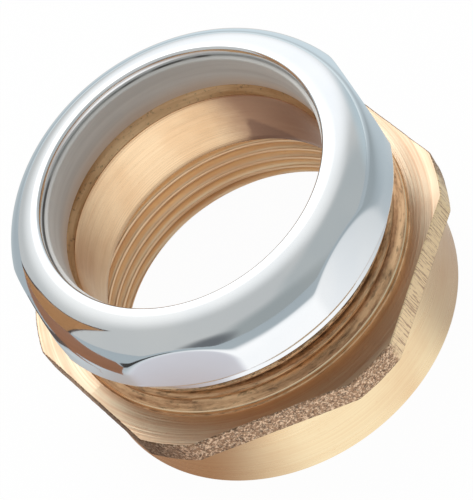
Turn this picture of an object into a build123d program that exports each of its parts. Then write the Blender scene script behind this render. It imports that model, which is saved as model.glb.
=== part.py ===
from build123d import *
import math
import os

# Trap waste connector, inch and a half slip joint by inch and a half female pipe thread.
# Millimetres. The axis is Z, the plain barrel end stands on Z = 0 and the slip nut is on top.

# Standard sizes: the waste tube, the male thread's crest beyond it, the washer, the pipe thread
inch = 25.4
tube_od = 1.5 * inch
male_step = 0.2 * inch
washer_thick = 0.25 * inch
pipe_thread_minor_d = 44.4
pipe_thread_major_d = 48.2

# Clearances
tube_gap = 0.55
running_gap = 0.3
seat_gap = 0.35

# Connector body, heights from the plain end
body_height = 27.6
barrel_wall = 2.8
barrel_edge = 0.4
mouth_height = 1.6
mouth_lip = 0.2
step_height = 14.3
end_bevel = 2.2
thread_lead = 1.0

# Hexagon flange of the body, how far it stands out and its corners beyond that
flange_bottom = 11.9
flange_thick = 4.0
flange_step = 0.8
flange_corner = 2.3
flange_edge = 0.25

# Turned shoulder ring between flange and male thread
ring_step = 1.17
ring_height = 0.7
ring_taper = 1.3

# Slip nut: wall at the flats, rounded corners beyond them, turned base inside them
nut_height = 12.75
nut_wall = 1.27
nut_corner = 1.1
nut_angle = -14.0
nut_base_inset = 0.35
nut_base_height = 2.4
nut_lead = 0.5
lip_gap = 1.25
lip_thick = 1.7
lip_round = 0.3
dome_height = 7.0
seat_width = 1.73
seat_angle = 30.0

# Slip joint washer
washer_gap = 0.65
washer_side_gap = 0.62

# Shared helpers
sides = 6
half = 0.5
full_turn = 360.0

# Radii that two or more pieces take from the same sizes
male_r = tube_od * half + male_step
bore_r = tube_od * half + tube_gap
barrel_r = pipe_thread_major_d * half + barrel_wall
nut_bore_r = male_r + running_gap
seat_r = nut_bore_r - seat_width


def turned(points):
    """Solid of revolution about Z from a closed outline of radius and height pairs."""
    outline = [(r, 0.0, z) for r, z in points]
    face = make_face(Polyline(*outline, close=True))
    return revolve(face, Axis.Z, full_turn)


def hexagon(flat_r, bottom, height, angle):
    """Upright hexagonal prism, its flats at a radius and one of them square to the given angle."""
    corner_turn = full_turn / sides * half
    sketch = RegularPolygon(flat_r, sides, major_radius=False, rotation=angle + corner_turn)
    return Pos(0.0, 0.0, bottom) * extrude(sketch, height)


def connector_body():
    """Cast and turned body: threaded barrel, hexagon flange, male slip joint end."""
    ring_r = male_r + ring_step
    minor_r = pipe_thread_minor_d * half
    mouth_r = pipe_thread_major_d * half + mouth_lip
    flange_top = flange_bottom + flange_thick
    ring_top = flange_top + ring_height
    core = turned([
        (mouth_r, 0.0),
        (barrel_r - barrel_edge, 0.0),
        (barrel_r, barrel_edge),
        (barrel_r, flange_top),
        (ring_r, flange_top),
        (ring_r, ring_top),
        (male_r, ring_top + ring_taper),
        (male_r, body_height - thread_lead),
        (male_r - thread_lead, body_height),
        (bore_r + end_bevel, body_height),
        (bore_r, body_height - end_bevel),
        (bore_r, step_height),
        (minor_r, step_height),
        (minor_r, mouth_height),
    ])
    # The flange is a hexagon with its corners turned off on the lathe
    flat_r = barrel_r + flange_step
    corner_r = flat_r + flange_corner
    inner_r = barrel_r - barrel_edge
    round_blank = turned([
        (inner_r, flange_bottom),
        (corner_r - flange_edge, flange_bottom),
        (corner_r, flange_bottom + flange_edge),
        (corner_r, flange_top - flange_edge),
        (corner_r - flange_edge, flange_top),
        (inner_r, flange_top),
    ])
    prism = hexagon(flat_r, flange_bottom, flange_thick, 0.0)
    return core + (round_blank & prism)


def slip_nut():
    """Domed hexagon nut that pulls the washer down on the tube."""
    base = body_height + washer_thick + lip_thick - nut_height
    top = base + nut_height
    lip_under = top - lip_thick
    flat_r = nut_bore_r + nut_wall
    corner_r = flat_r + nut_corner
    base_r = flat_r - nut_base_inset
    lip_r = tube_od * half + lip_gap
    crest_r = lip_r + lip_round
    dome_base = top - dome_height
    seat_height = seat_width / math.tan(math.radians(seat_angle))
    dome = EllipticalCenterArc(
        center=(crest_r, dome_base),
        x_radius=corner_r - crest_r,
        y_radius=dome_height,
        start_angle=0.0,
        arc_size=full_turn * half * half,
    )
    rim = [
        (crest_r, top),
        (lip_r, top - lip_round),
        (lip_r, lip_under),
        (seat_r, lip_under),
        (nut_bore_r, lip_under - seat_height),
        (nut_bore_r, base + nut_lead),
        (nut_bore_r + nut_lead, base),
        (base_r, base),
        (corner_r, base + nut_base_height),
        (corner_r, dome_base),
    ]
    outline = Plane.XZ * make_face(dome + Polyline(*rim))
    blank = revolve(outline, Axis.Z, full_turn)
    return blank & hexagon(flat_r, base, nut_height, nut_angle)


def slip_joint_washer():
    """Bevelled washer held between the body end and the nut lip."""
    bottom = body_height
    top = body_height + washer_thick
    outer_r = nut_bore_r - washer_side_gap
    inner_r = tube_od * half + washer_gap
    slope = math.radians(seat_angle)
    top_r = seat_r - seat_gap / math.cos(slope)
    bevel_height = (outer_r - top_r) / math.tan(slope)
    return turned([
        (inner_r, bottom),
        (outer_r, bottom),
        (outer_r, top - bevel_height),
        (top_r, top),
        (inner_r, top),
    ])


os.makedirs("parts", exist_ok=True)
export_step(connector_body(), "parts/connector_body.step")
export_step(slip_nut(), "parts/slip_nut.step")
export_step(slip_joint_washer(), "parts/slip_joint_washer.step")
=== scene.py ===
import math

import bmesh
import bpy
from bpy.props import FloatProperty, FloatVectorProperty, IntProperty, PointerProperty
from mathutils import Matrix, Vector, noise


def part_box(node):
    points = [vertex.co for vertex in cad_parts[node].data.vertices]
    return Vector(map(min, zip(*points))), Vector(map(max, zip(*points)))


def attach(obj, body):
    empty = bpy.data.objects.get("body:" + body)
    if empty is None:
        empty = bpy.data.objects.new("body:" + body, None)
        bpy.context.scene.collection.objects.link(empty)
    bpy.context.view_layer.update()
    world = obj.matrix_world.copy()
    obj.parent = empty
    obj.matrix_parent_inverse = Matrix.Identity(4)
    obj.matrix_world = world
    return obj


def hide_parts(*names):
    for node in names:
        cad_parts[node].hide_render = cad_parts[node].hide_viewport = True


bl_info = {
    "name": "Trap waste connector",
    "version": (1, 0, 0),
    "blender": (4, 5, 0),
    "location": "View3D > Sidebar > Connector",
    "description": "Dresses the packed trap waste connector: brass body, chrome slip nut, grey washer "
                   "and a studio",
    "category": "Object",
}

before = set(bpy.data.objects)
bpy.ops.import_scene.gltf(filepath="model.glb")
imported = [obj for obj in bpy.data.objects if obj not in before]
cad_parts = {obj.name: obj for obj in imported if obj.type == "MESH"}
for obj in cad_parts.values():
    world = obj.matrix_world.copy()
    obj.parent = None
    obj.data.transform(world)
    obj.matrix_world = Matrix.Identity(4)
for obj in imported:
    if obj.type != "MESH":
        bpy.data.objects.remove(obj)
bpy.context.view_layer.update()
BODY_LOW, BODY_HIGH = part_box("connector_body")
NUT_LOW, NUT_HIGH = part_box("slip_nut")
WASHER_LOW, WASHER_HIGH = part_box("slip_joint_washer")

MM = 0.001
TURN = 2.0 * math.pi
MERGE = 1e-7
NEAR = 1e-6
HEX = 6
SECTORS = 12

# Side of the flange that was ground: its middle, and how far from it the grinding fades and ends
GROUND_MIDDLE = math.radians(-56.0)
GROUND_FADE = math.radians(24.0)
GROUND_END = math.radians(29.0)

# Thread form in parts of a pitch from the middle of a crest: half its land, and where the root begins
LAND = 0.09
MALE_FOOT = 0.40
PIPE_FOOT = 0.46

# Rows of faces up one pitch of a thread and over the nut's dome
THREAD_ROWS = 14
DOME_ROWS = 44

# Angle in degrees above which an edge stays crisp, on turned pieces and on the cast flange
TURNED_SHARP = 50.0
CAST_SHARP = 40.0

# Places of the body's finishes in its list of materials
BARREL, BORE, FACED, PIPE, MALE, BEVEL, RING = range(7)

# Soft box: its place, the point that it faces and its side, in metres
LAMP_PLACE = (0.22, 0.58, 0.74)
LAMP_TARGET = (0.0, 0.0, 0.018)
LAMP_SIDE = 0.7

# Height on the nut from which the wall cards are sighted
SIGHT_HEIGHT = 28.0 * MM

# Pools of painted light and painted shade on the floor that the metal mirrors, with a painted contact shadow
# by the barrel and painted shade inside the bore: direction in degrees and distance of the middle,
# radius of the full tone, radius where it has faded, and the tone. Lengths are in metres.
FLOOR_LIGHT_AND_SHADE = (
    (46.0, 1.500, 1.000, 1.420, (0.80, 0.90, 0.93)),
    (335.0, 0.160, 0.050, 0.120, (0.31, 0.36, 0.38)),
    (0.0, 0.0, 0.033, 0.043, (0.64, 0.60, 0.57)),
    (46.0, 0.110, 0.030, 0.130, (0.68, 0.79, 0.84)),
    (75.0, 0.048, 0.018, 0.042, (0.68, 0.61, 0.55)),
    (265.0, 0.080, 0.012, 0.036, (0.84, 0.87, 0.88)),
    (250.0, 0.056, 0.022, 0.075, (1.20, 1.19, 1.18)),
    (318.0, 0.027, 0.006, 0.015, (0.58, 0.54, 0.55)),
    (162.0, 0.048, 0.006, 0.014, (0.58, 0.62, 0.64)),
    (206.0, 0.046, 0.008, 0.022, (0.72, 0.71, 0.76)),
    (193.0, 0.029, 0.006, 0.026, (0.41, 0.25, 0.18)),
    (0.0, 0.0, 0.0215, 0.0225, (0.56, 0.52, 0.49)),
    (262.0, 0.002, 0.005, 0.020, (1.28, 1.26, 1.24)),
    (72.0, 0.020, 0.003, 0.010, (0.38, 0.29, 0.24)),
)

# Patches of tone in the tent: direction and elevation of the middle, how far from it the tone is full,
# how far it has faded, and the tone. Angles are in degrees.
TENT_PATCHES = (
    (70.0, 58.0, 2.0, 56.0, (1.12, 1.12, 1.10)),
    (70.0, 51.0, 4.0, 26.0, (2.30, 2.28, 2.20)),
    (48.0, 27.0, 2.0, 42.0, (1.16, 1.17, 1.18)),
    (310.0, 13.0, 38.0, 52.0, (0.49, 0.52, 0.52)),
    (258.0, -8.0, 28.0, 48.0, (0.38, 0.41, 0.41)),
    (8.0, -10.0, 8.0, 32.0, (0.54, 0.64, 0.68)),
    (222.0, 8.0, 4.0, 18.0, (0.16, 0.17, 0.18)),
)

# Corners of the cards on the wall, by direction and elevation in degrees
DARK_WALL = ((117.0, -1.5), (152.5, -1.5), (155.0, 13.0), (162.0, 39.0), (149.5, 30.5), (130.0, 17.5))
BROWN_WALL = ((119.0, -1.5), (151.0, -1.5), (153.5, 12.0), (160.5, 35.5), (149.0, 29.0), (130.5, 16.0))

# Corners of the cards on the floor, by direction in degrees and distance in metres
DARK_FLOOR = ((132.0, 0.046), (150.0, 0.054), (159.0, 0.064), (152.0, 0.082), (132.0, 0.090))
BROWN_FLOOR = (
    (169.0, 0.0415), (181.0, 0.0450), (184.0, 0.0720), (180.0, 0.1000), (170.0, 0.1400), (158.0, 0.3000),
    (152.0, 0.9700), (121.0, 0.9700), (126.0, 0.3000), (138.0, 0.1300), (150.0, 0.0830), (160.0, 0.0640),
)
BLACK_FLOOR = ((184.0, 0.072), (196.0, 0.078), (208.0, 0.100), (206.0, 0.135), (192.0, 0.130), (182.0, 0.100))


# Sizes and colours that a user would change

def length(name, description, millimetres):
    """A size that a user would change, given here in millimetres and kept in metres."""
    return FloatProperty(name=name, description=description, default=millimetres * MM, precision=5,
                         unit="LENGTH")


def colour(name, description, value):
    """A linear colour that a user would change."""
    return FloatVectorProperty(name=name, description=description, default=value, size=3, min=0.0, max=1.0,
                               subtype="COLOR")


def share(name, description, value):
    """A plain number from 0 to 1 that a user would change."""
    return FloatProperty(name=name, description=description, default=value, min=0.0, max=1.0,
                         subtype="FACTOR")


def count(name, description, value):
    """How many rows or steps a mesh gets."""
    return IntProperty(name=name, description=description, default=value, min=3)


class BodySizes(bpy.types.PropertyGroup):
    """Turned sizes of the brass body, from its axis and its plain end."""

    bore: length("Bore", "Radius of the plain bore that takes the tube", 19.6)
    minor: length("Pipe thread crest", "Radius at the crests of the inside thread", 22.2)
    major: length("Pipe thread root", "Radius at the roots of the inside thread", 23.5)
    mouth: length("Mouth", "Radius of the chamfered mouth at the plain end", 24.3)
    mouth_height: length("Mouth height", "Height of the chamfer at the mouth", 1.6)
    step: length("Step", "Height of the step between inside thread and bore", 14.3)
    barrel: length("Barrel", "Outside radius of the barrel", 26.9)
    flange_low: length("Flange bottom", "Height of the flange's lower face", 11.9)
    flange_high: length("Flange top", "Height of the flange's upper face", 15.9)
    flange_flat: length("Flange flats", "Distance of the flange's flats from the axis", 27.7)
    flange_corner: length("Flange corners", "Radius of the flange's turned corners", 30.0)
    ring: length("Shoulder ring", "Radius of the ring above the flange", 25.3)
    ring_high: length("Ring top", "Height of the ring's upper edge", 16.6)
    crest: length("Male thread crest", "Radius at the crests of the outside thread", 24.13)
    root: length("Male thread root", "Radius at the roots of the outside thread", 22.85)
    lead: length("Thread lead", "Chamfer at the end of the outside thread", 1.0)
    bevel: length("End bevel", "Bevel between the end face and the bore", 2.2)
    chamfer: length("Barrel chamfer", "Chamfer at the barrel's plain end", 0.4)
    fillet: length("Ring fillet", "Rounding at the foot and the upper edge of the ring", 0.18)
    eased: length("Eased edge", "Rounding of the bore's edges", 0.12)
    flange_edge: length("Flange edge", "Chamfer of the flange's turned edges", 0.16)
    pitch: length("Pitch", "Pitch of both threads", 2.2087)
    thread_start: length("Thread start", "Height of the outside thread's first crest on the X axis", 16.8)
    steps: count("Steps", "Steps round the body", 360)
    flange_steps: count("Flange steps", "Steps round the flange", 864)


class NutSizes(bpy.types.PropertyGroup):
    """Turned sizes of the chrome slip nut."""

    flat: length("Flats", "Distance of the flats from the axis", 25.7)
    corner: length("Corners", "Largest radius of the dome", 26.8)
    base: length("Base", "Radius of the round collar at the lower rim", 25.3)
    collar: length("Collar", "Height of the round collar below the flats", 0.78)
    step: length("Step", "Height at which the step above the collar ends", 1.44)
    base_height: length("Base height", "Height at which the taper above the step ends", 2.91)
    bore: length("Thread root", "Radius at the roots of the nut's thread", 24.43)
    crest: length("Thread crest", "Radius at the crests of the nut's thread", 23.2)
    lip: length("Lip hole", "Radius of the hole in the lip", 20.3)
    lip_round: length("Lip rounding", "Rounding of the lip's inner edge", 0.3)
    lip_thick: length("Lip thickness", "Thickness of the lip", 1.7)
    dome: length("Dome height", "Height of the dome above its widest ring", 7.0)
    seat: length("Seat", "Radius of the seat under the lip", 22.7)
    seat_height: length("Seat height", "Height of the cone below the seat", 3.0)
    soft: length("Buffed edge", "Softness of the edges between dome and flats", 0.22)
    crisp: length("Turned edge", "Softness of the edges below the flats", 0.07)
    angle: FloatProperty(name="Angle", description="Turn of the nut's flats", default=math.radians(-14.0),
                         subtype="ANGLE")
    steps: count("Steps", "Steps round the nut", 600)


class WasherSizes(bpy.types.PropertyGroup):
    """Sizes of the sealing washer."""

    inner: length("Hole", "Radius of the hole", 19.7)
    outer: length("Rim", "Outside radius", 23.81)
    top: length("Top", "Radius of the top face", 22.3)
    bevel: length("Bevel", "Height of the bevelled side", 2.62)
    edge: length("Edge", "Rounding of the edges", 0.3)
    steps: count("Steps", "Steps round the washer", 240)


class Finishes(bpy.types.PropertyGroup):
    """Colours of the metals and the rubber, in linear light."""

    brass: colour("Brass", "Clean turned brass", (0.88, 0.73, 0.47))
    tarnish: colour("Tarnish", "Brass that has darkened", (0.68, 0.40, 0.20))
    faced: colour("Flange", "Faced top of the flange", (0.98, 0.85, 0.64))
    rust: colour("Flange stain", "Ring marks on the flange", (0.76, 0.43, 0.25))
    bore: colour("Bore", "Plain bore, warmer from its own reflections", (0.90, 0.69, 0.45))
    pipe_light: colour("Pipe thread", "Light streaks in the inside thread", (1.00, 0.78, 0.52))
    pipe_dark: colour("Pipe thread dark", "Dark streaks in the inside thread", (0.95, 0.70, 0.46))
    male_light: colour("Male thread", "Light streaks in the outside thread", (0.86, 0.57, 0.33))
    male_dark: colour("Male thread dark", "Dark streaks in the outside thread", (0.49, 0.27, 0.145))
    # The bevel's dark tone also paints shade on it away from its lighter side
    bevel_light: colour("Bevel", "Light streaks on the bevel at the bore", (1.00, 0.71, 0.42))
    bevel_dark: colour("Bevel dark", "Dark streaks on the bevel at the bore", (0.47, 0.24, 0.10))
    cast: colour("Cast skin", "Sand cast brass on the flange's sides", (0.46, 0.28, 0.17))
    ground: colour("Ground side", "Side of the flange that was ground flat", (1.00, 0.76, 0.46))
    # The dirt colour also paints shade: in the thread roots, round the flange's left corner and in the gap
    # under the nut's lip
    dirt_and_shade: colour("Dirt", "Dark specks in the casting and the thread", (0.035, 0.022, 0.014))
    chrome: colour("Chrome", "Bright plating", (0.83, 0.85, 0.87))
    rubber: colour("Washer", "Grey washer", (0.68, 0.66, 0.635))


class Studio(bpy.types.PropertyGroup):
    """Floor, lamps and camera."""

    lens: FloatProperty(name="Lens", description="Focal length of the camera", default=252.0, unit="CAMERA")
    floor: length("Floor", "Radius of the floor", 4000.0)
    white: share("Floor white", "How far the floor is white where it is seen", 0.97)
    # Share of the floor that metal sees as glowing painted pools of light and shade, and the pools' base tone
    mirrored: share("Floor in metal", "How far the floor is lit evenly where metal mirrors it", 0.90)
    horizon: colour("Horizon", "Cool tone low in the tent", (0.40, 0.46, 0.49))
    tent: FloatProperty(name="Tent", description="Strength of the tent's light", default=1.0, min=0.0)
    key: FloatProperty(name="Key lamp", description="Power of the soft box", default=2.4, min=0.0,
                       unit="POWER")
    place: FloatVectorProperty(name="Camera", description="Place of the camera", size=3, subtype="XYZ",
                               default=(-0.05992, -0.30227, 0.38100))
    look: FloatVectorProperty(name="View", description="Direction of the view", size=3, subtype="XYZ",
                              default=(0.12641, 0.63272, -0.76399))
    up: FloatVectorProperty(name="Up", description="Direction that is up in the picture", size=3, subtype="XYZ",
                            default=(0.69759, 0.49086, 0.52195))


# Mesh helpers

def outline(points):
    """Starts a mesh as a closed outline of radius and height pairs, and gives its edges in order."""
    bm = bmesh.new()
    verts = [bm.verts.new((radius, 0.0, height)) for radius, height in points]
    edges = [bm.edges.new(pair) for pair in zip(verts, verts[1:] + verts[:1])]
    return bm, edges


def divide(bm, edge, row):
    """Cuts one edge of an outline into rows of about the given height."""
    bmesh.ops.subdivide_edges(bm, edges=[edge], cuts=int(edge.calc_length() / row))


def lathe(bm, steps):
    """Spins one sector of the outline, copies it round the axis and closes the seams."""
    start = bm.verts[:] + bm.edges[:]
    bmesh.ops.spin(bm, geom=start, cent=(0.0, 0.0, 0.0), axis=(0.0, 0.0, 1.0), dvec=(0.0, 0.0, 0.0),
                   angle=TURN / SECTORS, steps=steps // SECTORS, use_duplicate=False)
    sector = bm.verts[:] + bm.edges[:] + bm.faces[:]
    bmesh.ops.spin(bm, geom=sector, cent=(0.0, 0.0, 0.0), axis=(0.0, 0.0, 1.0), dvec=(0.0, 0.0, 0.0),
                   angle=TURN - TURN / SECTORS, steps=SECTORS - 1, use_duplicate=True)
    bmesh.ops.remove_doubles(bm, verts=bm.verts[:], dist=MERGE)
    bmesh.ops.recalc_face_normals(bm, faces=bm.faces[:])


def radius_of(vert):
    return math.hypot(vert.co.x, vert.co.y)


def angle_of(vert):
    return math.atan2(vert.co.y, vert.co.x)


def set_radius(vert, radius):
    scale = radius / radius_of(vert)
    vert.co.x *= scale
    vert.co.y *= scale


def rim_edges(bm, rims):
    """Turned edges that lie at the given radius and height pairs."""
    def on(edge, rim):
        return all(abs(radius_of(v) - rim[0]) < NEAR and abs(v.co.z - rim[1]) < NEAR for v in edge.verts)

    return [edge for edge in bm.edges if any(on(edge, rim) for rim in rims)]


def soften(bm, rims, width, segments=3):
    """Bevels the turned edges that lie at the given radius and height pairs."""
    picked = rim_edges(bm, rims)
    bmesh.ops.bevel(bm, geom=picked, offset=width, offset_type="OFFSET", segments=segments, profile=0.5,
                    affect="EDGES", material=-1, clamp_overlap=True)


def ease(value, low, high):
    """Smooth step from 0 at low to 1 at high."""
    part = min(max((value - low) / (high - low), 0.0), 1.0)
    return part * part * (3.0 - 2.0 * part)


def smooth_min(a, b, width):
    """The smaller of two values, rounded off where they meet."""
    part = max(width - abs(a - b), 0.0) / width
    return min(a, b) - part * part * width * 0.25


def flat_distance(angle, flat, turn):
    """Distance from the axis to a hexagon's outline in one direction."""
    sector = TURN / HEX
    local = (angle - turn + sector * 0.5) % sector - sector * 0.5
    return flat / math.cos(local)


def thread_depth(angle, height, pitch, start, land, foot):
    """How deep a right hand thread is cut, from 0 on its crest to 1 in its root."""
    part = (height - start) / pitch - angle / TURN
    away = abs(part - round(part))
    return ease(away, land, foot)


def finish_mesh(bm, name, materials, paint, sharp, creases=()):
    """Gives the faces their materials, keeps sharp and creased edges crisp and makes the piece."""
    bmesh.ops.recalc_face_normals(bm, faces=bm.faces[:])
    for face in bm.faces:
        face.smooth = True
        face.material_index = paint(face)
    limit = math.radians(sharp)
    for edge in bm.edges:
        edge.smooth = edge.calc_face_angle(0.0) < limit
    for edge in rim_edges(bm, creases):
        edge.smooth = False
    mesh = bpy.data.meshes.new(name)
    bm.to_mesh(mesh)
    bm.free()
    for material in materials:
        mesh.materials.append(material)
    piece = bpy.data.objects.new(name, mesh)
    bpy.context.scene.collection.objects.link(piece)
    return piece


# Finishes

class Shading:
    """Adds and joins the nodes of one material or of the world."""

    def __init__(self, tree):
        self.tree = tree
        self.tree.nodes.clear()

    def add(self, kind, inputs=None, **settings):
        node = self.tree.nodes.new(kind)
        for key, value in settings.items():
            setattr(node, key, value)
        for key, value in (inputs or {}).items():
            if isinstance(value, bpy.types.NodeSocket):
                self.tree.links.new(value, node.inputs[key])
            else:
                node.inputs[key].default_value = value
        return node

    def maths(self, operation, a, b=0.0, clamp=False):
        return self.add("ShaderNodeMath", {0: a, 1: b}, operation=operation, use_clamp=clamp).outputs[0]

    def place(self):
        return self.add("ShaderNodeTexCoord").outputs["Object"]

    def mapped(self, vector, scale=(1.0, 1.0, 1.0), turn=(0.0, 0.0, 0.0)):
        return self.add("ShaderNodeMapping", {"Vector": vector, "Scale": scale, "Rotation": turn}).outputs[0]

    def round_place(self):
        """Radius in metres, angle in radians and height in metres."""
        parts = self.add("ShaderNodeSeparateXYZ", {0: self.place()}).outputs
        square = self.maths("ADD", self.maths("MULTIPLY", parts[0], parts[0]),
                            self.maths("MULTIPLY", parts[1], parts[1]))
        return self.maths("SQRT", square), self.maths("ARCTAN2", parts[1], parts[0]), parts[2]

    def noise(self, vector, scale, detail=2.0, rough=0.5, twist=0.0):
        node = self.add("ShaderNodeTexNoise", {"Vector": vector, "Scale": scale, "Detail": detail,
                                               "Roughness": rough, "Distortion": twist})
        return node.outputs["Fac"]

    def grade(self, value, low, high, to_low=0.0, to_high=1.0):
        ends = {"From Min": low, "From Max": high, "To Min": to_low, "To Max": to_high}
        node = self.add("ShaderNodeMapRange", {"Value": value, **ends}, interpolation_type="SMOOTHSTEP")
        return node.outputs[0]

    def blend(self, factor, a, b, mode="MIX"):
        node = self.add("ShaderNodeMix", {0: factor, 6: a, 7: b}, data_type="RGBA", blend_type=mode)
        return node.outputs[2]

    def bump(self, height, strength, distance, normal=None):
        inputs = {"Height": height, "Strength": strength, "Distance": distance}
        if normal is not None:
            inputs["Normal"] = normal
        return self.add("ShaderNodeBump", inputs).outputs[0]

    def surface(self, inputs):
        shader = self.add("ShaderNodeBsdfPrincipled", inputs)
        self.add("ShaderNodeOutputMaterial", {"Surface": shader.outputs[0]})


def new_material(name):
    material = bpy.data.materials.new(name)
    material.use_nodes = True
    return material, Shading(material.node_tree)


def full(value):
    return (value[0], value[1], value[2], 1.0)


def bore_side_and_painted_reflection(shading, base):
    """Darker brown down one side of the bore, and a darker painted reflection in a wedge above the step."""
    angle, height = shading.round_place()[1:]
    wobble = shading.noise(shading.place(), 320.0, 3.0, 0.6)
    sway = shading.maths("MULTIPLY", shading.maths("SUBTRACT", wobble, 0.5), 0.12)
    turn = shading.maths("ADD", angle, sway)
    side = shading.grade(turn, math.radians(37.0), math.radians(57.0), 0.88, 0.0)
    base = shading.blend(side, base, (0.36, 0.195, 0.125, 1.0))
    # Painted reflection: a dark wedge above the step.
    left = shading.maths("ADD", turn, shading.maths("MULTIPLY", height, 12.5))
    under = shading.maths("SUBTRACT", height, shading.maths("MULTIPLY", turn, 14.0 * MM))
    wedge = shading.maths("MULTIPLY", shading.grade(left, 0.92, 0.98, 0.6, 0.0),
                          shading.grade(under, 9.2 * MM, 10.6 * MM, 1.0, 0.0))
    wedge = shading.maths("MULTIPLY", wedge, shading.grade(height, 19.2 * MM, 20.2 * MM, 1.0, 0.0))
    return shading.blend(wedge, base, (0.20, 0.11, 0.08, 1.0))


def flange_painted_reflection(shading, base):
    """Painted reflection: redder brass on one side of the flange's top, where it mirrors the thread and the nut
    above it.
    """
    away = shading.maths("ABSOLUTE", shading.maths("ADD", shading.round_place()[1], math.radians(98.0)))
    return shading.blend(shading.grade(away, math.radians(26.0), math.radians(60.0), 0.34, 0.0), base,
                         (1.00, 0.62, 0.38, 1.0))


def turned_brass(name, clean, stained, streaks, rough, aniso, tarnish=0.35, deep=0.24, side_and_reflection=None):
    """Brass with the fine marks of a lathe tool. streaks gives the marks' vector, deep their strength, and the
    last argument one-sided colour with painted reflection.
    """
    material, shading = new_material(name)
    vector = streaks(shading)
    fine = shading.noise(vector, 1.0, 3.0, 0.6)
    broad = shading.noise(vector, 0.16, 2.0, 0.5)
    patches = shading.noise(shading.place(), 70.0, 3.0, 0.55)
    cloud = shading.maths("MULTIPLY", shading.grade(patches, 0.42, 0.75), tarnish)
    base = shading.blend(cloud, full(clean), full(stained))
    marks = shading.grade(fine, 0.30, 0.70)
    base = shading.blend(shading.maths("MULTIPLY", marks, deep), base, full(stained))
    specks = shading.noise(shading.mapped(shading.place(), (0.7, 0.7, 1.5)), 1500.0, 4.0, 0.75)
    base = shading.blend(shading.grade(specks, 0.60, 0.72, 0.0, 0.4), base, full(stained))
    # Colour on one side, with a painted reflection, where given.
    if side_and_reflection is not None:
        base = side_and_reflection(shading, base)
    shine = shading.grade(broad, 0.3, 0.7, rough * 0.85, rough * 1.2)
    normal = shading.bump(fine, 0.45, 0.00006)
    tangent = shading.add("ShaderNodeTangent", direction_type="RADIAL", axis="Z").outputs[0]
    shading.surface({"Base Color": base, "Metallic": 1.0, "Roughness": shine, "Anisotropic": aniso,
                     "Normal": normal, "Tangent": tangent})
    return material


def rings(shading):
    """Marks that run in rings on a faced surface."""
    radius, angle, height = shading.round_place()
    return shading.add("ShaderNodeCombineXYZ", {0: shading.maths("MULTIPLY", radius, 3800.0),
                                                1: shading.maths("MULTIPLY", angle, 1.2),
                                                2: shading.maths("MULTIPLY", height, 900.0)}).outputs[0]


def hoops(shading):
    """Marks that run round a turned cylinder."""
    return shading.mapped(shading.place(), (60.0, 60.0, 4600.0))


def chased_thread(name, light, dark, dirt_and_shade, rough, crest_r, root_r, shade, torn=None):
    """Thread cut with a tool, streaked along its turns and darker in its roots, from dirt and painted shade.

    torn gives the radius from which its crests are ragged."""
    material, shading = new_material(name)
    place = shading.place()
    tone = shading.noise(shading.mapped(place, (45.0, 45.0, 2600.0)), 1.0, 5.0, 0.65)
    base = shading.blend(shading.grade(tone, 0.35, 0.65), full(light), full(dark))
    height = tone
    radius, _, level = shading.round_place()
    # Dirt and painted shade in the roots.
    base = shading.blend(shading.grade(radius, crest_r, root_r, 0.0, shade), base, full(dirt_and_shade))
    if torn is not None:
        grain = shading.noise(shading.mapped(place, (0.14, 0.14, 1.3)), 3600.0, 4.0, 0.7)
        base = shading.blend(shading.grade(grain, 0.50, 0.68, 0.0, 0.55), base, full(dirt_and_shade))
        base = shading.blend(shading.grade(grain, 0.50, 0.34, 0.0, 0.5), base, full(light))
        smudge = shading.noise(shading.mapped(place, (0.4, 0.4, 2.4)), 420.0, 4.0, 0.65)
        base = shading.blend(shading.grade(smudge, 0.50, 0.72, 0.0, 0.55), base, full(dirt_and_shade))
        specks = shading.noise(shading.mapped(place, (0.5, 0.5, 1.6)), 2600.0, 5.0, 0.8)
        crest = shading.maths("MULTIPLY", shading.grade(radius, torn, torn + 0.25 * MM),
                              shading.grade(level, 19.2 * MM, 21.0 * MM))
        pits = shading.maths("MULTIPLY", shading.grade(specks, 0.50, 0.62, 0.0, 0.8), crest)
        base = shading.blend(pits, base, full(dirt_and_shade))
        ragged = shading.maths("ADD", tone, shading.maths("MULTIPLY", grain, 0.5))
        height = shading.maths("SUBTRACT", ragged, pits)
    shine = shading.grade(tone, 0.35, 0.65, rough * 0.85, rough * 1.2)
    normal = shading.bump(height, 0.45, 0.00010)
    shading.surface({"Base Color": base, "Metallic": 1.0, "Roughness": shine, "Normal": normal})
    return material


def shaded_end_bevel(finish):
    """Bevel at the bore's mouth, rough, with dark streaks and painted shade that darkens it away from its side
    round 74 degrees.
    """
    material, shading = new_material("end_bevel_brass")
    place = shading.place()
    streaks = shading.noise(shading.mapped(place, (90.0, 90.0, 1500.0)), 1.0, 4.0, 0.65)
    grains = shading.noise(place, 1500.0, 4.0, 0.7)
    angle = shading.round_place()[1]
    turned = shading.maths("ABSOLUTE", shading.maths("SUBTRACT", angle, math.radians(74.0)))
    # Dark streaks, and painted shade away from the side round 74 degrees.
    streaks_and_side_shade = shading.maths("ADD", shading.grade(streaks, 0.3, 0.7, 0.0, 0.5),
                         shading.grade(turned, math.radians(14.0), math.radians(42.0), 0.0, 0.5))
    base = shading.blend(streaks_and_side_shade, full(finish.bevel_light), full(finish.bevel_dark))
    soot = shading.maths("MULTIPLY", shading.grade(grains, 0.55, 0.7), 0.5)
    base = shading.blend(soot, base, full(finish.dirt_and_shade))
    normal = shading.bump(grains, 0.4, 0.00012)
    shading.surface({"Base Color": base, "Metallic": 0.85, "Roughness": 0.5, "Normal": normal})
    return material


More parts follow.
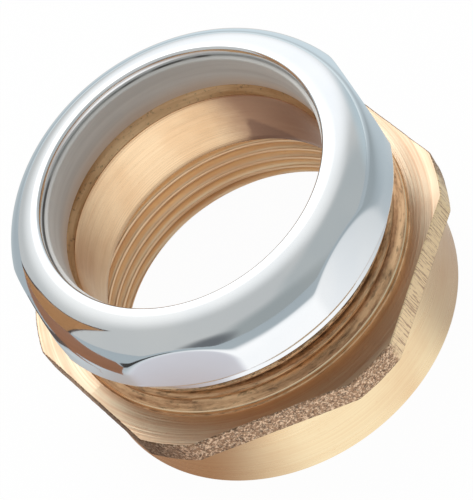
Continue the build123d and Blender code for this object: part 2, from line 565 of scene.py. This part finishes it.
def cast_brass(finish, low):
    """Sand cast skin on the flange's sides, with one side ground where the casting was cut off, painted shade
    round the left corner and a darker lower edge.
    """
    material, shading = new_material("flange_cast_and_ground")
    place = shading.place()
    grains = shading.noise(place, 2600.0, 5.0, 0.75)
    lumps = shading.noise(place, 520.0, 3.0, 0.6)
    skin = shading.blend(shading.grade(grains, 0.49, 0.57), full(finish.cast), (0.97, 0.73, 0.52, 1.0))
    pits = shading.grade(shading.noise(place, 2300.0, 4.0, 0.8, 0.6), 0.50, 0.58)
    skin = shading.blend(shading.maths("MULTIPLY", pits, 0.65), skin, full(finish.dirt_and_shade))
    turned = shading.mapped(place, turn=(0.0, 0.0, math.radians(60.0)))
    slanted = shading.mapped(turned, turn=(math.radians(-97.0), 0.0, 0.0))
    scratch = shading.noise(shading.mapped(slanted, (20.0, 260.0, 6000.0)), 1.0, 3.0, 0.6)
    lines = shading.grade(scratch, 0.50, 0.61, 0.0, 0.85)
    ground = shading.blend(lines, full(finish.ground), full(finish.cast))
    nicks = shading.maths("MULTIPLY", shading.grade(grains, 0.60, 0.70), 0.8)
    ground = shading.blend(nicks, ground, full(finish.cast))
    _, angle, level = shading.round_place()
    middle = shading.maths("ABSOLUTE", shading.maths("SUBTRACT", angle, GROUND_MIDDLE))
    sway = shading.maths("MULTIPLY", shading.maths("SUBTRACT", lumps, 0.5), 0.18)
    wander = shading.maths("ADD", middle, sway)
    is_cast = shading.grade(wander, GROUND_FADE, GROUND_END)
    # Painted shade on the cast skin round the flange's left corner.
    left = shading.maths("MULTIPLY", shading.grade(wander, math.radians(88.0), math.radians(98.0)),
                         shading.grade(wander, math.radians(120.0), math.radians(132.0), 0.5, 0.0))
    skin = shading.blend(left, skin, full(finish.dirt_and_shade))
    base = shading.blend(is_cast, ground, skin)
    # Darker in patches along the lower edge of the cast side.
    lower_edge_darker = shading.maths("MULTIPLY", shading.grade(level, low, low + 0.35 * MM, 1.0, 0.0),
                         shading.grade(lumps, 0.35, 0.60, 0.2, 0.9))
    base = shading.blend(lower_edge_darker, base, full(finish.dirt_and_shade))
    height = shading.blend(is_cast, shading.maths("MULTIPLY", scratch, 0.35), grains)
    rough = shading.grade(is_cast, 0.0, 1.0, 0.42, 0.55)
    metal = shading.grade(is_cast, 0.0, 1.0, 0.55, 0.9)
    normal = shading.bump(height, 0.8, 0.00020)
    shading.surface({"Base Color": base, "Metallic": metal, "Roughness": rough, "Normal": normal})
    return material


def bright_chrome(finish):
    """Bright plating over a buffed casting: near mirror, with a slight waviness."""
    material, shading = new_material("bright_chrome_plate")
    place = shading.place()
    waves = shading.noise(place, 120.0, 2.0, 0.45)
    haze = shading.noise(place, 900.0, 4.0, 0.6)
    rough = shading.grade(haze, 0.35, 0.75, 0.055, 0.10)
    tint = shading.blend(shading.grade(waves, 0.3, 0.7), full(finish.chrome), (0.79, 0.82, 0.85, 1.0))
    normal = shading.bump(waves, 0.10, 0.0004)
    shading.surface({"Base Color": tint, "Metallic": 1.0, "Roughness": rough, "Normal": normal})
    return material


def nut_inside(finish):
    """Thin plating in the nut's thread, where the brass shows through."""
    material, shading = new_material("nut_thread_plating")
    place = shading.place()
    wear = shading.noise(shading.mapped(place, (300.0, 300.0, 1800.0)), 1.0, 4.0, 0.6)
    base = shading.blend(shading.grade(wear, 0.35, 0.7), (0.52, 0.53, 0.54, 1.0), full(finish.tarnish))
    rough = shading.grade(wear, 0.3, 0.7, 0.22, 0.42)
    normal = shading.bump(wear, 0.4, 0.0001)
    shading.surface({"Base Color": base, "Metallic": 1.0, "Roughness": rough, "Normal": normal})
    return material


def grey_washer(finish):
    """Moulded grey washer, satin, with faint flow bands, a painted warm reflection toward its bottom and a
    painted shadow under the nut's lip.
    """
    material, shading = new_material("grey_washer")
    place = shading.place()
    bands = shading.noise(shading.mapped(place, (40.0, 40.0, 700.0)), 1.0, 3.0, 0.55)
    grain = shading.noise(place, 3500.0, 3.0, 0.6)
    base = shading.blend(shading.grade(bands, 0.3, 0.7), full(finish.rubber), (0.78, 0.765, 0.74, 1.0))
    radius, _, level = shading.round_place()
    # Painted warm reflection of the brass below, toward the washer's bottom.
    base = shading.blend(shading.grade(level, 27.4 * MM, 30.8 * MM, 0.55, 0.0), base, (0.80, 0.57, 0.39, 1.0))
    # Painted shadow, broken in patches, in the gap under the nut's lip.
    lip_gap_shadow = shading.maths("MULTIPLY", shading.grade(radius, 20.12 * MM, 20.24 * MM, 0.0, 0.8),
                          shading.grade(level, 33.5 * MM, 33.8 * MM))
    broken = shading.grade(shading.noise(place, 130.0, 2.0, 0.5), 0.42, 0.58, 0.35, 1.0)
    base = shading.blend(shading.maths("MULTIPLY", lip_gap_shadow, broken), base, full(finish.dirt_and_shade))
    rough = shading.grade(grain, 0.3, 0.7, 0.46, 0.60)
    normal = shading.bump(shading.maths("ADD", shading.maths("MULTIPLY", bands, 0.6),
                                        shading.maths("MULTIPLY", grain, 0.4)), 0.25, 0.00008)
    shading.surface({"Base Color": base, "Roughness": rough, "IOR": 1.5, "Specular IOR Level": 0.3,
                     "Normal": normal})
    return material


# Studio

def white_floor(studio):
    """Pale floor: white where it is seen, with the object's own soft shadow; glowing painted light and shade
    where metal mirrors it.
    """
    material, shading = new_material("studio_floor")
    ray = shading.add("ShaderNodeLightPath").outputs
    plain = shading.maths("MAXIMUM", ray["Is Camera Ray"], ray["Is Transmission Ray"])
    paint = shading.add("ShaderNodeBsdfDiffuse", {"Color": (0.88, 0.88, 0.88, 1.0)})
    place = shading.place()
    # Painted light and shade: pools of glowing tone that the metal mirrors on the floor.
    painted_light_and_shade = full(studio.horizon)
    for azimuth, distance, inner, outer, tone in FLOOR_LIGHT_AND_SHADE:
        away = shading.add("ShaderNodeVectorMath", {0: place, 1: on_floor(azimuth, distance, 0.0)},
                           operation="DISTANCE").outputs["Value"]
        painted_light_and_shade = shading.blend(shading.grade(away, inner, outer), full(tone), painted_light_and_shade)
    tone = shading.blend(plain, painted_light_and_shade, full((1.0, 1.0, 1.0)))
    glow = shading.add("ShaderNodeEmission", {"Color": tone, "Strength": 1.0})
    factor = shading.maths("ADD", shading.maths("MULTIPLY", plain, studio.white),
                           shading.maths("MULTIPLY", ray["Is Glossy Ray"], studio.mirrored), True)
    both = shading.add("ShaderNodeMixShader", {0: factor, 1: paint.outputs[0], 2: glow.outputs[0]})
    shading.add("ShaderNodeOutputMaterial", {"Surface": both.outputs[0]})
    return material


def bearing(azimuth, elevation):
    """Unit vector in a direction given in degrees."""
    a, e = math.radians(azimuth), math.radians(elevation)
    return (math.cos(a) * math.cos(e), math.sin(a) * math.cos(e), math.sin(e))


def light_tent(studio):
    """World as a tent: bright beyond the object, dim on the camera's side, cooler low on the right."""
    world = bpy.data.worlds.new("light_tent")
    world.use_nodes = True
    bpy.context.scene.world = world
    shading = Shading(world.node_tree)
    direction = shading.add("ShaderNodeTexCoord").outputs["Generated"]
    sky = full((0.60, 0.61, 0.60))
    for azimuth, elevation, inner, outer, tone in TENT_PATCHES:
        cosine = shading.add("ShaderNodeVectorMath", {0: direction, 1: bearing(azimuth, elevation)},
                             operation="DOT_PRODUCT")
        far, near = math.cos(math.radians(outer)), math.cos(math.radians(inner))
        part = shading.grade(cosine.outputs["Value"], far, near)
        sky = shading.blend(part, sky, full(tone))
    ray = shading.add("ShaderNodeLightPath").outputs
    shown = shading.maths("MAXIMUM", ray["Is Camera Ray"], ray["Is Transmission Ray"])
    tent = shading.add("ShaderNodeBackground", {"Color": sky, "Strength": studio.tent})
    white = shading.add("ShaderNodeBackground", {"Color": (1.0, 1.0, 1.0, 1.0), "Strength": 1.0})
    both = shading.add("ShaderNodeMixShader", {0: shown, 1: tent.outputs[0], 2: white.outputs[0]})
    shading.add("ShaderNodeOutputWorld", {"Surface": both.outputs[0]})


def card_paint(name, tone):
    """Matt card with a faint mottle."""
    material, shading = new_material(name)
    mottle = shading.noise(shading.place(), 40.0, 3.0, 0.6)
    base = shading.blend(mottle, full(tone), full([part * 0.7 for part in tone]))
    shading.surface({"Base Color": base, "Roughness": 0.8})
    return material


def reflection_card(name, corners, material):
    """Card outside the picture that only the metal sees."""
    bm = bmesh.new()
    bmesh.ops.contextual_create(bm, geom=[bm.verts.new(corner) for corner in corners])
    mesh = bpy.data.meshes.new(name)
    bm.to_mesh(mesh)
    bm.free()
    mesh.materials.append(material)
    card = bpy.data.objects.new(name, mesh)
    for ray in ("visible_camera", "visible_shadow", "visible_diffuse"):
        setattr(card, ray, False)
    bpy.context.scene.collection.objects.link(card)


def on_floor(azimuth, distance, height=0.5 * MM):
    a = math.radians(azimuth)
    return (math.cos(a) * distance, math.sin(a) * distance, height)


def on_wall(azimuth, elevation, distance):
    """Point at a distance from the axis, in a direction as seen from the nut."""
    return on_floor(azimuth, distance, distance * math.tan(math.radians(elevation)) + SIGHT_HEIGHT)


def soft_box(name, place, target, size, power):
    """Square lamp that faces a point."""
    lamp = bpy.data.lights.new(name, "AREA")
    lamp.shape = "SQUARE"
    lamp.size = size
    lamp.energy = power
    holder = bpy.data.objects.new(name, lamp)
    away = Vector(place) - Vector(target)
    holder.matrix_world = Matrix.Translation(place) @ away.to_track_quat("Z", "Y").to_matrix().to_4x4()
    holder.visible_camera = False
    holder.visible_glossy = False
    bpy.context.scene.collection.objects.link(holder)


# Pieces

class CONNECTOR_OT_body(bpy.types.Operator):
    """Turns the brass body with its bore and both threads"""

    bl_idname = "connector.body"
    bl_label = "Brass body"

    def execute(self, context):
        size = context.scene.connector_body
        finish = context.scene.connector_finish
        low, high = BODY_LOW.z, BODY_HIGH.z
        row = size.pitch / THREAD_ROWS
        end = high - size.lead
        bevel_low = high - size.bevel
        points = [
            (size.mouth, low),
            (size.barrel - size.chamfer, low),
            (size.barrel, low + size.chamfer),
            (size.barrel, size.flange_high - 0.5 * MM),
            (size.ring + size.fillet, size.flange_high - 0.5 * MM),
            (size.ring + size.fillet, size.flange_high),
            (size.ring + 0.05 * MM, size.flange_high + 0.05 * MM),
            (size.ring, size.flange_high + size.fillet),
            (size.ring, size.ring_high),
            (size.ring - 0.45 * MM, size.ring_high + 0.25 * MM),
            (size.crest, size.ring_high + 0.75 * MM),
            (size.crest, end),
            (size.crest - size.lead, high),
            (size.bore + size.bevel, high),
            (size.bore, bevel_low),
            (size.bore, size.step),
            (size.minor, size.step),
            (size.minor, low + size.mouth_height),
        ]
        bm, edges = outline(points)
        for index in (10, 11, 16, 17):
            divide(bm, edges[index], row)
        divide(bm, edges[2], 1.5 * MM)
        divide(bm, edges[14], 1.2 * MM)
        lathe(bm, size.steps)
        soften(bm, [(size.ring, size.ring_high)], size.fillet)
        soften(bm, [(size.bore, bevel_low), (size.bore, size.step)], size.eased, 2)
        soften(bm, [(size.bore + size.bevel, high)], size.eased, 2)
        pipe_start = low + 0.78 * MM
        for vert in bm.verts:
            radius, angle, height = radius_of(vert), angle_of(vert), vert.co.z
            if radius > size.crest - size.lead - NEAR and height > size.ring_high + 0.3 * MM:
                depth = thread_depth(angle, height, size.pitch, size.thread_start, LAND, MALE_FOOT)
                depth *= ease(height, size.ring_high + 0.3 * MM, size.ring_high + 1.2 * MM)
                set_radius(vert, min(radius, size.crest + (size.root - size.crest) * depth))
            elif size.minor - NEAR < radius < size.mouth + NEAR and height < size.step - 0.1 * MM:
                depth = thread_depth(angle, height, size.pitch, pipe_start, LAND, PIPE_FOOT)
                depth *= 1.0 - ease(height, size.step - 1.8 * MM, size.step - 0.3 * MM)
                set_radius(vert, max(radius, size.minor + (size.major - size.minor) * depth))
        materials = [
            turned_brass("barrel_turned_brass", finish.brass, finish.tarnish, hoops, 0.28, 0.55),
            turned_brass("bore_turned_brass", finish.bore, finish.tarnish, hoops, 0.22, 0.45, 0.5,
                         side_and_reflection=bore_side_and_painted_reflection),
            turned_brass("faced_brass", finish.brass, finish.tarnish, rings, 0.30, 0.55),
            chased_thread("pipe_thread_brass", finish.pipe_light, finish.pipe_dark, finish.male_dark, 0.36,
                          size.minor + 0.6 * MM, size.major - 0.1 * MM, 0.75),
            chased_thread("male_thread_brass", finish.male_light, finish.male_dark, finish.dirt_and_shade, 0.36,
                          size.crest - 0.35 * MM, size.root + 0.2 * MM, 0.8, size.crest - 0.3 * MM),
            shaded_end_bevel(finish),
            turned_brass("ring_edge_brass", finish.pipe_light, finish.rust, rings, 0.26, 0.5),
        ]

        def paint(face):
            centre = face.calc_center_median()
            radius, height = math.hypot(centre.x, centre.y), centre.z
            if radius > size.crest + 0.3 * MM and height < size.flange_high:
                return BARREL if height > low + NEAR else FACED
            if radius > size.ring - 0.25 * MM and abs(height - size.ring_high) < 0.12 * MM:
                return RING
            if radius > size.root - 0.2 * MM and height > size.flange_high:
                return MALE
            if height > size.step - 0.05 * MM:
                return BORE if height < bevel_low else BEVEL
            return PIPE if height > low + NEAR else FACED

        creases = [(size.barrel, low + size.chamfer), (size.barrel - size.chamfer, low)]
        piece = finish_mesh(bm, "brass_body", materials, paint, TURNED_SHARP, creases)
        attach(piece, "body")
        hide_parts("connector_body")
        return {"FINISHED"}


class CONNECTOR_OT_flange(bpy.types.Operator):
    """Makes the hexagon flange with its turned faces and cast sides"""

    bl_idname = "connector.flange"
    bl_label = "Hexagon flange"

    def execute(self, context):
        size = context.scene.connector_body
        finish = context.scene.connector_finish
        inner = size.ring - 0.6 * MM
        edge = size.flange_edge
        outer = size.flange_corner
        points = [
            (inner, size.flange_low),
            (outer - edge, size.flange_low),
            (outer, size.flange_low + edge),
            (outer, size.flange_high - edge),
            (outer - edge, size.flange_high),
            (inner, size.flange_high),
        ]
        bm, edges = outline(points)
        divide(bm, edges[2], 0.22 * MM)
        lathe(bm, size.flange_steps)
        for vert in bm.verts:
            radius = radius_of(vert)
            if radius < outer - 2.0 * edge:
                continue
            inset = outer - radius
            angle = angle_of(vert)
            side = smooth_min(outer, flat_distance(angle, size.flange_flat, 0.0), 0.12 * MM)
            grain = noise.fractal(vert.co * 1400.0, 1.0, 2.0, 4)
            lump = noise.noise(vert.co * 260.0)
            ground = 1.0 - ease(abs(angle - GROUND_MIDDLE), GROUND_FADE, GROUND_END)
            push = (0.030 * grain + 0.05 * lump) * (1.0 - 0.85 * ground) * MM
            set_radius(vert, side - inset + push)
        materials = [
            turned_brass("flange_faced_brass", finish.faced, finish.rust, rings, 0.40, 0.6, 0.35, 0.55,
                         flange_painted_reflection),
            cast_brass(finish, size.flange_low),
        ]

        def paint(face):
            return 0 if abs(face.normal.z) > 0.95 else 1

        piece = finish_mesh(bm, "hex_flange", materials, paint, CAST_SHARP)
        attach(piece, "body")
        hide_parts("connector_body")
        return {"FINISHED"}


class CONNECTOR_OT_nut(bpy.types.Operator):
    """Turns the domed slip nut, cuts its flats and its thread"""

    bl_idname = "connector.nut"
    bl_label = "Chrome slip nut"

    def execute(self, context):
        size = context.scene.connector_nut
        finish = context.scene.connector_finish
        pitch = context.scene.connector_body.pitch
        low, high = NUT_LOW.z, NUT_HIGH.z
        lip_low = high - size.lip_thick
        dome_low = high - size.dome
        crest = size.lip + size.lip_round
        wall_high = lip_low - size.seat_height
        points = [
            (crest, high),
            (size.lip, high - size.lip_round),
            (size.lip, lip_low),
            (size.seat, lip_low),
            (size.bore, wall_high),
            (size.bore, low + 0.5 * MM),
            (size.bore + 0.5 * MM, low),
            (size.base, low),
            (size.base, low + size.collar),
            (size.flat - 0.05 * MM, low + size.step),
            (size.corner, low + size.base_height),
            (size.corner, dome_low),
        ]
        bm, edges = outline(points)
        divide(bm, edges[4], pitch / THREAD_ROWS)
        divide(bm, edges[8], 0.10 * MM)
        divide(bm, edges[9], 0.10 * MM)
        divide(bm, edges[10], 0.2 * MM)
        bm.edges.remove(edges[11])
        width = size.corner - crest
        bm.verts.ensure_lookup_table()
        top = bm.verts[0]
        made = bmesh.ops.spin(bm, geom=[top], cent=(crest, 0.0, dome_low), axis=(0.0, 1.0, 0.0),
                              dvec=(0.0, 0.0, 0.0), angle=TURN / 4.0, steps=DOME_ROWS, use_duplicate=False)
        for vert in bm.verts:
            if vert.co.x > crest + NEAR and vert.co.z > dome_low + NEAR:
                vert.co.x = crest + (vert.co.x - crest) * width / size.dome
        last = made["geom_last"][0]
        last.co = (size.corner, 0.0, dome_low)
        bmesh.ops.remove_doubles(bm, verts=bm.verts[:], dist=NEAR)
        lathe(bm, size.steps)
        soften(bm, [(crest, high), (size.lip, high - size.lip_round)], 0.12 * MM, 3)
        soften(bm, [(size.lip, lip_low)], 0.15 * MM, 2)
        start = context.scene.connector_body.thread_start + pitch * 0.5
        for vert in bm.verts:
            radius, angle, height = radius_of(vert), angle_of(vert), vert.co.z
            if radius > size.base - 0.15 * MM and height > low + size.collar - NEAR:
                soft = size.soft if height > low + size.base_height else size.crisp
                set_radius(vert, smooth_min(radius, flat_distance(angle, size.flat, size.angle), soft))
            elif abs(radius - size.bore) < NEAR and height > low + 0.55 * MM:
                depth = 1.0 - thread_depth(angle, height, pitch, start, LAND, MALE_FOOT)
                depth *= ease(height, low + 0.5 * MM, low + 1.6 * MM)
                depth *= 1.0 - ease(height, wall_high - 1.4 * MM, wall_high - 0.2 * MM)
                set_radius(vert, size.bore + (size.crest - size.bore) * depth)
        materials = [bright_chrome(finish), nut_inside(finish)]

        def paint(face):
            centre = face.calc_center_median()
            radius = math.hypot(centre.x, centre.y)
            inside = radius < size.bore + 0.1 * MM and centre.z < lip_low + NEAR
            return 1 if inside else 0

        creases = [(size.base, low + size.collar)]
        piece = finish_mesh(bm, "slip_nut_shell", materials, paint, TURNED_SHARP, creases)
        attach(piece, "nut")
        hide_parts("slip_nut")
        return {"FINISHED"}


class CONNECTOR_OT_washer(bpy.types.Operator):
    """Moulds the grey sealing washer"""

    bl_idname = "connector.washer"
    bl_label = "Sealing washer"

    def execute(self, context):
        size = context.scene.connector_washer
        finish = context.scene.connector_finish
        low, high = WASHER_LOW.z, WASHER_HIGH.z
        points = [
            (size.inner, low),
            (size.outer, low),
            (size.outer, high - size.bevel),
            (size.top, high),
            (size.inner, high),
        ]
        bm = outline(points)[0]
        lathe(bm, size.steps)
        soften(bm, points, size.edge, 4)
        piece = finish_mesh(bm, "sealing_washer", [grey_washer(finish)], lambda face: 0, TURNED_SHARP)
        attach(piece, "washer")
        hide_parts("slip_joint_washer")
        return {"FINISHED"}


class CONNECTOR_OT_stage(bpy.types.Operator):
    """Sets up the floor, the tent, the lamps and the camera"""

    bl_idname = "connector.stage"
    bl_label = "Studio"

    def execute(self, context):
        scene = context.scene
        studio = scene.connector_studio
        scene.view_settings.view_transform = "Standard"
        bm = bmesh.new()
        bmesh.ops.create_circle(bm, cap_ends=True, segments=96, radius=studio.floor)
        mesh = bpy.data.meshes.new("studio_floor")
        bm.to_mesh(mesh)
        bm.free()
        mesh.materials.append(white_floor(studio))
        floor = bpy.data.objects.new("studio_floor", mesh)
        floor.location.z = -0.02 * MM
        scene.collection.objects.link(floor)
        light_tent(studio)
        soft_box("far_soft_box", LAMP_PLACE, LAMP_TARGET, LAMP_SIDE, studio.key)
        brown = card_paint("brown_card", (0.70, 0.34, 0.14))
        umber = card_paint("umber_card", (0.37, 0.16, 0.08))
        dark = card_paint("dark_card", (0.12, 0.09, 0.08))
        black = card_paint("black_card", (0.035, 0.032, 0.030))
        for name, corners, distance, paint in (
            ("dark_side_card", DARK_WALL, 1.00, dark),
            ("brown_side_card", BROWN_WALL, 0.98, brown),
        ):
            reflection_card(name, [on_wall(*corner, distance) for corner in corners], paint)
        for name, corners, paint in (
            ("dark_floor_card", DARK_FLOOR, dark),
            ("brown_floor_card", BROWN_FLOOR, umber),
            ("black_floor_card", BLACK_FLOOR, black),
        ):
            reflection_card(name, [on_floor(*corner) for corner in corners], paint)
        camera = bpy.data.cameras.new("photo_camera")
        camera.lens = studio.lens
        camera.clip_start = 0.01
        camera.clip_end = 20.0
        holder = bpy.data.objects.new("photo_camera", camera)
        back = -Vector(studio.look).normalized()
        right = Vector(studio.up).cross(back).normalized()
        up = back.cross(right)
        holder.matrix_world = Matrix.Translation(studio.place) @ Matrix((right, up, back)).transposed().to_4x4()
        scene.collection.objects.link(holder)
        scene.camera = holder
        return {"FINISHED"}


class CONNECTOR_PT_panel(bpy.types.Panel):
    """Lists the pieces and the studio in the sidebar"""

    bl_idname = "CONNECTOR_PT_panel"
    bl_label = "Trap waste connector"
    bl_space_type = "VIEW_3D"
    bl_region_type = "UI"
    bl_category = "Connector"

    def draw(self, context):
        for operator in OPERATORS:
            self.layout.operator(operator.bl_idname)


GROUPS = {
    "connector_body": BodySizes,
    "connector_nut": NutSizes,
    "connector_washer": WasherSizes,
    "connector_finish": Finishes,
    "connector_studio": Studio,
}
OPERATORS = (
    CONNECTOR_OT_body,
    CONNECTOR_OT_flange,
    CONNECTOR_OT_nut,
    CONNECTOR_OT_washer,
    CONNECTOR_OT_stage,
)


def register():
    for name, group in GROUPS.items():
        bpy.utils.register_class(group)
        setattr(bpy.types.Scene, name, PointerProperty(type=group))
    for operator in OPERATORS:
        bpy.utils.register_class(operator)
    bpy.utils.register_class(CONNECTOR_PT_panel)


def unregister():
    bpy.utils.unregister_class(CONNECTOR_PT_panel)
    for operator in reversed(OPERATORS):
        bpy.utils.unregister_class(operator)
    for name, group in reversed(GROUPS.items()):
        delattr(bpy.types.Scene, name)
        bpy.utils.unregister_class(group)


def main():
    register()
    bpy.ops.connector.body()
    bpy.ops.connector.flange()
    bpy.ops.connector.nut()
    bpy.ops.connector.washer()
    bpy.ops.connector.stage()


if __name__ == "__main__":
    main()
